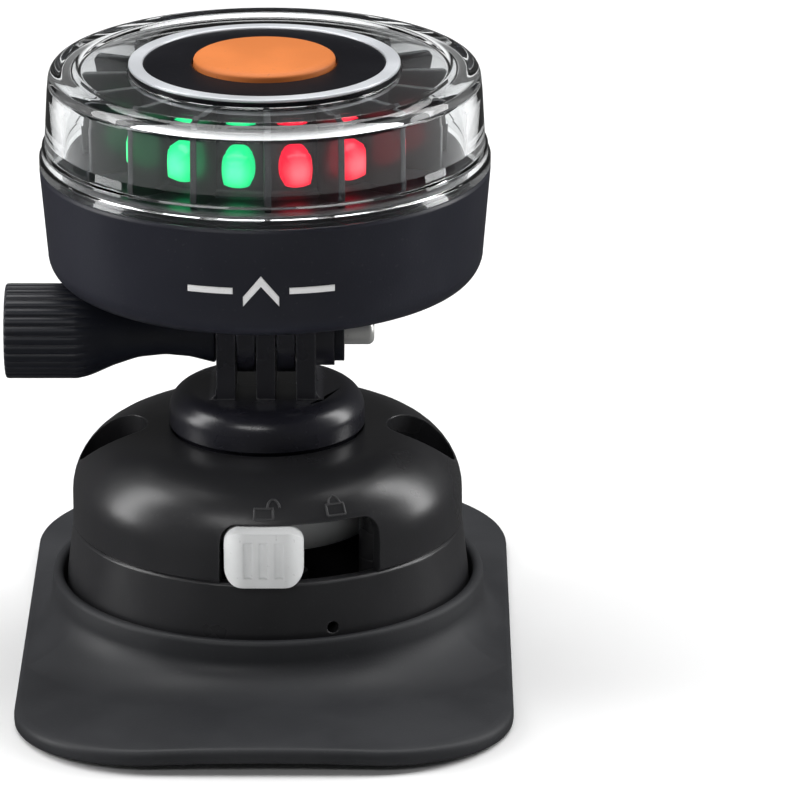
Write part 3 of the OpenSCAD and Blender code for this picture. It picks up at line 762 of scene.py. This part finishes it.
@dataclass
class DeckBase:
    """The base's body, its domed cover and its screws."""

    rounding: float = 0.35
    icon_height: float = 36.4
    icon_lean: float = 0.85
    icon_r: float = 30.0
    stroke_r: float = 0.24
    stroke_sides: int = 8
    shoulder: float = 12.5
    wall_r: float = 36.0
    top: float = 41.6

    def dome_radius(self, z: np.ndarray) -> np.ndarray:
        """Radius of the dome: upright below the shoulder, then a quarter circle.

        Args:
            z: heights, in millimetres.

        Returns:
            The radii, in millimetres.
        """
        up = np.clip(z - (self.top - self.shoulder), 0, self.shoulder)
        return self.wall_r - self.shoulder + np.sqrt(self.shoulder**2 - up**2)

    def icon_stroke(self, name: str, outline: np.ndarray, centre_angle: float) -> None:
        """Lays a thin raised line on the dome.

        A point (u, v) of the outline goes to the angle centre + u / r and up the dome by v. Its section is a
        small flattened circle in the plane of the dome's normal and the line's side.

        Args:
            name: the piece's name.
            outline: rows of (u, v), in millimetres.
            centre_angle: the icon's angle from the bow, in degrees.
        """
        z = self.icon_height + outline[:, 1] * self.icon_lean
        r = self.dome_radius(z)
        a = math.radians(centre_angle - 90) + outline[:, 0] / self.icon_r
        line = np.stack([r * np.cos(a), r * np.sin(a), z], -1)
        ahead = np.gradient(line, axis=0)
        ahead /= np.linalg.norm(ahead, axis=1, keepdims=True)
        rise = np.clip(z - (self.top - self.shoulder), 0, None)
        bulge = r - (self.wall_r - self.shoulder)
        out = np.stack([np.cos(a) * bulge, np.sin(a) * bulge, rise], -1)
        out /= np.linalg.norm(out, axis=1, keepdims=True)
        side = np.cross(ahead, out)
        turn = np.linspace(0, 2 * math.pi, self.stroke_sides, endpoint=False)[:, None, None]
        ring = line + self.stroke_r * (np.cos(turn) * side + 0.7 * np.sin(turn) * out)
        first, last = (end[None].repeat(self.stroke_sides, 0) for end in (line[:1], line[-1:]))
        stroke = np.concatenate([first, ring, last], 1)
        dress(grid_object(name, stroke * MM, True, False), Palette.ICON, "base")

    def icons(self) -> None:
        """Marks the open and the locked end of the slot with plain padlocks."""
        body = np.array([(-1.5, -1.1), (1.5, -1.1), (1.5, 0.9), (-1.5, 0.9), (-1.5, -1.1)])
        dense = np.vstack([np.linspace(a, b, 8)[:-1] for a, b in zip(body[:-1], body[1:])] + [body[-1:]])
        bend = np.linspace(0, math.pi, 12)
        closed = np.stack([1.0 * np.cos(bend), 0.9 + 1.4 * np.sin(bend)], -1)
        opened = closed + np.array([1.6, 0.1])
        for key, angle, shackle in (("open", 0.0, opened), ("shut", 22.5, closed)):
            self.icon_stroke(f"icon_{key}_body", dense, angle)
            self.icon_stroke(f"icon_{key}_shackle", shackle, angle)

    def build(self) -> None:
        """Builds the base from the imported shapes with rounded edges."""
        dress(copy_node("base_body", self.rounding, "socket_body"), Palette.BASE, "base")
        dress(copy_node("base_cover", self.rounding, "dome_cover"), Palette.BASE, "base")
        dress(copy_node("fixing_screws", 0.15, "deck_screws"), Palette.ZINC, "base")
        dress_nodes(Palette.ZINC, "cover_screws", "detent_balls", "detent_springs")
        self.icons()


@dataclass
class LockRing:
    """The lock ring and its two thumb tabs."""

    def build(self) -> None:
        """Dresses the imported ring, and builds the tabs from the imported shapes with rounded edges."""
        dress_nodes(Palette.LOCK, "lock_ring")
        for node, name in (("front_thumb_tab", "bow_tab"), ("rear_thumb_tab", "stern_tab")):
            dress(copy_node(node, 0.55, name), Palette.LOCK, "lock_ring")


# ---------------------------------------------------------------- plug, clamp and knob


@dataclass
class Clamp:
    """The twist plug, the disc with its prongs, the nut and the bolt."""

    def build(self) -> None:
        """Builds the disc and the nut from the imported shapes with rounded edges, and dresses the rest."""
        dress_nodes(Palette.PLUG, "twist_plug")
        dress(copy_node("prong_disc", 0.25, "prong_plate"), Palette.PLUG, "adapter")
        dress(copy_node("clamp_nut", 0.3, "captive_nut"), Palette.KNOB, "adapter")
        dress_nodes(Palette.ZINC, "plug_screw", "clamp_bolt")


@dataclass
class Knob:
    """The clamp's thumb knob: a waisted stem and a fluted grip.

    Sizes are in millimetres; distances run from the hinge's centre towards -X.
    """

    axis_z: float = 59.7
    reach: float = 47.8
    grip_r: float = 8.75
    grip_start: float = 31.0
    flutes: int = 30
    flute_depth: float = 0.42

    def build(self) -> None:
        """Builds the knob: the profile's radius, less a rounded flute wave that fades in along the grip.

        The wave is (1 - |sin(n a / 2)|) to the power 1.6, so ridges are round and the grooves between them
        are narrow.
        """
        start = 9.25
        profile = rounded_profile([
            (2.6, start, 0), (5.9, start, 0.5), (5.5, 10.8, 1.5), (4.7, 14, 5), (4.3, 18.5, 9), (4.8, 23.5, 12),
            (6.3, 28, 14), (8.25, 32.4, 12), (self.grip_r, 34.6, 3)], 9)
        along = np.linspace(34.9, self.reach - 1.5, 24)
        grip = np.stack([np.full(24, self.grip_r), along], -1) * MM
        end = rounded_profile([
            (self.grip_r, self.reach - 1.5, 0), (self.grip_r, self.reach, 1.5), (7.0, self.reach, 0.6),
            (6.6, self.reach - 0.5, 0.3), (0, self.reach - 0.5, 0)], 9)
        rows = np.vstack([profile, grip, end[1:]])
        a = np.linspace(0, 2 * math.pi, self.flutes * 16, endpoint=False)
        r, h = rows[:, 0][:, None] / MM, rows[:, 1][:, None] / MM
        wave = (1 - np.abs(np.sin(self.flutes * a / 2))) ** 1.6
        fade = np.clip((h - self.grip_start) / 4.0, 0, 1) * np.clip((r - 7.4) / 1.0, 0, 1)
        radius = r - self.flute_depth * wave * fade
        grid = np.stack([-h + 0 * a, radius * np.cos(a), radius * np.sin(a) + self.axis_z], -1) * MM
        piece = grid_object("thumb_knob", grid, False, True, sharp=50)
        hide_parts("clamp_knob")
        dress(piece, Palette.KNOB, "knob")


# ---------------------------------------------------------------- light head


@dataclass
class Housing:
    """The lower housing, its bracket and what is inside.

    Sizes are in millimetres.
    """

    bottom: float = 71.0
    seam: float = 92.2
    foot_r: float = 39.7
    rim_r: float = 41.0

    def build(self) -> None:
        """Builds the housing as one revolved shell with a quarter-circle foot, and dresses the rest."""
        b, s = self.bottom, self.seam
        turn = np.linspace(-math.pi / 2, 0, 14)
        foot = [(self.foot_r - 5 + 5 * math.cos(a), b + 5 + 5 * math.sin(a), 0.0) for a in turn]
        shell = rounded_profile([
            (0, b, 0), *foot, (self.rim_r, s - 0.6, 0.4), (self.rim_r - 0.3, s, 0.2), (38.0, s, 0.3),
            (38.0, s - 1.4, 0), (39.4, s - 1.5, 0), (39.4, s - 3.7, 0), (38.0, s - 3.8, 0), (38.0, b + 9, 0),
            (36.8, b + 7.5, 0), (36.8, b + 2.6, 0.6), (0, b + 2.6, 0)], 10)
        piece = revolve("housing_shell", shell, 288)
        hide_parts("lower_housing")
        dress(piece, Palette.HOUSING, "head")
        dress(copy_node("tilt_bracket", 0.35, "tilt_prongs"), Palette.PLUG, "head")
        dress_nodes(Palette.ZINC, "bracket_screws", "contact_springs", "contact_plates")
        dress_nodes(Palette.PLATE, "battery_tray")
        dress_nodes(Palette.SLEEVE, "battery_cells")
        dress_nodes(Palette.PRINT, "bow_mark")


@dataclass
class LensUnit:
    """The clear lens, the vaned carrier with its lit cells, and the face.

    Sizes are in millimetres.
    """

    seam: float = 92.2
    top: float = 110.6
    plate_top: float = 109.9
    drum_r: float = 24.6
    fin_r: float = 33.5
    fin_t: float = 1.2
    cells: int = 16
    twist: float = 2.0
    led_z: float = 98.9
    vane_top: float = 108.4
    greens: int = 5
    reds: int = 5
    window: tuple[float, float] = (5.6, 7.6)
    window_crown: float = 4.4

    def lens(self) -> None:
        """Revolves the lens: a stepped flange, a leaning wall, a thick round shoulder and a flat top plate."""
        s, t, p = self.seam + 0.15, self.top, self.plate_top
        shape = rounded_profile([
            (37.5, s, 0), (41.0, s, 0.2), (41.0, s + 1.6, 0.25), (40.55, s + 1.8, 0.15), (40.5, s + 3.5, 0.2),
            (40.0, s + 3.9, 0.3), (39.45, t - 4.6, 0.8), (39.0, t, 2.9), (33.9, t, 1.6), (33.2, p, 0.5),
            (24.78, p, 0.25), (24.78, p - 1.3, 0.1), (34.8, p - 1.3, 0.8), (36.7, p - 2.6, 0.9),
            (36.9, s + 5.0, 2.0), (37.5, s + 2.2, 0.6), (37.5, s, 0)], 9)
        piece = revolve("clear_lens", shape, 288)
        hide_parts("lens")
        dress(piece, Palette.LENS, "upper_unit")

    def carrier(self) -> None:
        """Revolves the carrier's drum and floor, and stands the vanes round it."""
        s, d = self.seam, self.drum_r
        drum = rounded_profile([
            (d - 1.4, s - 1.0, 0), (34.4, s - 1.0, 0), (34.4, s - 9.1, 0), (37.6, s - 9.1, 0.2),
            (37.6, s - 7.9, 0), (35.4, s - 7.9, 0), (35.4, s - 5.1, 0), (37.6, s - 5.1, 0),
            (37.6, s + 0.1, 0), (37.1, s + 0.2, 0), (37.1, s + 1.5, 0.4), (d + 0.1, s + 1.5, 0.8),
            (d, self.vane_top + 0.6, 0.2), (d, self.top - 1, 0.2), (d - 1.4, self.top - 1, 0.1),
            (d - 1.4, s - 1.0, 0)], 5)
        piece = revolve("vane_carrier", drum, 192)
        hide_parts("led_carrier", "led_strip")
        dress(piece, Palette.CARRIER, "upper_unit")
        # the top quarter millimetre of each vane gets a painted highlight in light grey
        vane = VanePaintedHighlightFinish("vane_black_painted_highlight", "carrier_plastic", (0.010, 0.012, 0.018), (0.11, 0.115, 0.12),
                          (self.vane_top - 0.25) * MM)
        lo, hi = s + 1.3, self.vane_top
        edge = rounded_profile([(d - 0.5, lo, 0), (self.fin_r, lo, 0), (self.fin_r, hi - 0.9, 0.3),
                                (self.fin_r - 0.9, hi, 0.6), (d - 0.5, hi, 0)], 5) / MM
        half = self.fin_t / 2
        # section across the vane: the outline pulled in by 0.15 at both faces, a thin plate with eased edges
        middle = edge.mean(0)
        tight = middle + (edge - middle) * (1 - 0.15 / 4)
        section = ((middle + 0 * edge, -half), (tight, -half), (edge, -half + 0.15), (edge, half - 0.15),
                   (tight, half), (middle + 0 * edge, half))
        for k in range(self.cells):
            a = math.radians(self.twist + k * 360 / self.cells - 90)
            along, across = math.cos(a), math.sin(a)
            layers = []
            for line, y in section:
                x, z = line[:, 0], line[:, 1]
                layers.append(np.stack([x * along - y * across, x * across + y * along, z], -1))
            fin = grid_object(f"vane_{k:02d}", np.stack(layers) * MM, False, True, sharp=30)
            fin.data.materials.append(vane.build())
            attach(fin, "upper_unit")
        LOG.info("vanes: %d", self.cells)

    def glow(self) -> None:
        """Lights each cell: a curved window on the drum and a domed diode before it.

        A window's point (u, v) goes to the angle u / r at height v, pushed out by a low crown of 1 - u^2 - v^2.
        """
        u, v = np.meshgrid(np.linspace(-1, 1, 17), np.linspace(-1, 1, 17), indexing="ij")
        w, h = self.window
        for k in range(self.cells):
            if k < self.greens:
                finish, key = Palette.GREEN, "green_leds"
            elif k >= self.cells - self.reds:
                finish, key = Palette.RED, "red_leds"
            else:
                finish, key = Palette.WHITE, "white_leds"
            a0 = math.radians(self.twist - (k + 0.5) * 360 / self.cells - 90)
            square = 1 - 0.28 * (u * v) ** 2
            crown = self.window_crown * np.clip(1 - np.maximum(u**2, v**2), 0, 1) ** 0.4
            r = self.drum_r + 0.12 + crown
            a = a0 + u * square * w / 2 / self.drum_r
            z = self.led_z + v * square * h / 2
            front = np.stack([r * np.cos(a), r * np.sin(a), z], -1)
            flat = self.drum_r + 0.02 + 0 * r
            back = np.stack([flat * np.cos(a), flat * np.sin(a), z], -1)
            grid = np.concatenate([front, back[::-1]], 0)
            uv = np.stack([np.concatenate([u, u[::-1]], 0), np.concatenate([v, v[::-1]], 0)], -1)
            window = grid_object(f"window_{k:02d}", grid * MM, True, False, uv=uv, sharp=60)
            if k in (0, self.greens, self.cells - self.reds):
                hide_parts(key)
            dress(window, finish, "upper_unit")

    def face(self) -> None:
        """Revolves the black face with its recess, and the silver ring round it."""
        t = self.top
        face = rounded_profile([
            (24.55, t - 0.9, 0), (24.55, t, 0.1), (21.95, t, 0), (21.9, t + 0.3, 0.1), (21.6, t + 0.4, 0.2),
            (13.4, t + 0.4, 0.2), (13.1, t + 0.2, 0.1), (13.1, t - 0.3, 0), (14.75, t - 0.3, 0),
            (14.75, t - 0.9, 0), (24.55, t - 0.9, 0)], 5)
        piece = revolve("face_disc", face, 192)
        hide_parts("face_plate")
        dress(piece, Palette.FACE, "upper_unit")
        ring = rounded_profile([
            (22.0, t + 0.05, 0), (24.6, t + 0.05, 0), (24.6, t + 0.6, 0.3), (22.2, t + 0.65, 0.25),
            (22.0, t + 0.4, 0.1), (22.0, t + 0.05, 0)], 6)
        trim = revolve("silver_ring", ring, 192)
        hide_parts("trim_ring")
        dress(trim, Palette.TRIM, "upper_unit")

    def build(self) -> None:
        """Builds the whole unit."""
        self.lens()
        self.carrier()
        self.glow()
        self.face()
        dress_nodes(Palette.SEAL, "lens_seal", "button_seal")
        dress_nodes(Palette.BOARD, "main_board", "switch_board")
        dress_nodes(Palette.BRASS, "board_pins")
        dress_nodes(Palette.CARRIER, "mode_switch")


@dataclass
class Button:
    """The soft orange mode button. Sizes are in millimetres."""

    top: float = 112.6
    radius: float = 12.85

    def build(self) -> None:
        """Revolves the button: a faint crown, an eased edge and a flange below."""
        t, r = self.top, self.radius
        shape = rounded_profile([
            (0, t, 0), (8.0, t - 0.04, 0), (r - 0.9, t - 0.2, 2.5), (r, t - 0.75, 0.6), (r, t - 2.55, 0),
            (r + 1.2, t - 2.55, 0), (r + 1.2, t - 3.25, 0), (2.4, t - 3.25, 0), (2.4, t - 4.65, 0),
            (0, t - 4.65, 0)], 8)
        piece = revolve("orange_button", shape, 192)
        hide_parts("mode_button")
        dress(piece, Palette.BUTTON, "button")


# ---------------------------------------------------------------- studio


@dataclass
class Studio:
    """Camera, plain floor and soft lights. Lengths are in metres."""

    elevation: float = 19.5
    distance: float = 1.15
    focal_length: float = 0.2810025
    aim: tuple[float, float, float] = (0.0245, 0.0, 0.0462)
    lit_point: tuple[float, float, float] = (0.0, 0.0, 0.07)

    def camera(self) -> None:
        """Places the camera in front, looking along +Y and down by the elevation."""
        data = bpy.data.cameras.new("camera")
        data.sensor_width = 36.0
        data.lens = self.focal_length / MM
        data.clip_start, data.clip_end = 0.05, 20.0
        camera = bpy.data.objects.new("camera", data)
        tilt = math.radians(self.elevation)
        away = Vector((0, -math.cos(tilt), math.sin(tilt))) * self.distance
        camera.location = Vector(self.aim) + away
        camera.rotation_euler = (math.pi / 2 - tilt, 0, 0)
        bpy.context.scene.collection.objects.link(camera)
        bpy.context.scene.camera = camera

    def floor(self) -> None:
        """Sweeps a plain floor up into a backdrop: flat, then a quarter circle, then upright."""
        bend = np.linspace(0, math.pi / 2, 24)
        radius, back = 0.8, 1.6
        y = np.concatenate([[-3.0, 0.5], back + radius * np.sin(bend), [back + radius]])
        z = np.concatenate([[0.0, 0.0], radius * (1 - np.cos(bend)), [3.5]])
        x = np.array([-4.0, 4.0])
        grid = np.stack([np.broadcast_to(x, (len(y), 2)), np.broadcast_to(y[:, None], (len(y), 2)),
                         np.broadcast_to(z[:, None], (len(y), 2))], -1)
        floor = grid_object("floor", grid, False, False)
        material = bpy.data.materials.new("floor_paper")
        material.use_nodes = True
        shader = material.node_tree.nodes["Principled BSDF"]
        shader.inputs["Base Color"].default_value = (0.9, 0.9, 0.9, 1)
        shader.inputs["Roughness"].default_value = 0.9
        shader.inputs["Specular IOR Level"].default_value = 0.1
        floor.data.materials.append(material)
        floor.visible_glossy = False

    def light(self, name: str, place: tuple[float, float, float], size: tuple[float, float],
              power: float) -> None:
        """Adds a soft rectangular light that faces the lit point.

        Args:
            name: its name.
            place: where it stands.
            size: its width and height.
            power: its power, in watts.
        """
        data = bpy.data.lights.new(name, "AREA")
        data.shape, data.size, data.size_y, data.energy = "RECTANGLE", size[0], size[1], power
        lamp = bpy.data.objects.new(name, data)
        lamp.location = place
        lamp.rotation_euler = (Vector(self.lit_point) - Vector(place)).to_track_quat("-Z", "Y").to_euler()
        bpy.context.scene.collection.objects.link(lamp)

    def build(self) -> None:
        """Builds the studio."""
        self.camera()
        self.floor()
        world = bpy.data.worlds.new("studio")
        world.use_nodes = True
        shade = world.node_tree.nodes["Background"]
        shade.inputs["Color"].default_value = (1, 1, 1, 1)
        shade.inputs["Strength"].default_value = 0.07
        bpy.context.scene.world = world
        bpy.context.scene.view_settings.view_transform = "Standard"
        self.light("top_light", (0.0, 0.25, 1.3), (1.4, 0.9), 17.0)
        self.light("left_light", (-0.95, 0.0, 0.45), (0.35, 1.0), 7.0)
        self.light("right_light", (0.9, 0.2, 0.45), (0.3, 1.0), 6.5)
        self.light("front_light", (-0.45, -1.3, 1.0), (0.9, 0.25), 4.2)
        LOG.info("studio: camera and lights")


# ---------------------------------------------------------------- assembly


def main() -> None:
    """Builds every sub-assembly in order."""
    logging.basicConfig(level=logging.INFO, format="%(message)s")
    Studio().build()
    for part in (Pad(), DeckBase(), LockRing(), Clamp(), Knob(), Housing(), LensUnit(), Button()):
        LOG.info("%s", type(part).__name__)
        part.build()


if __name__ == "__main__":
    main()
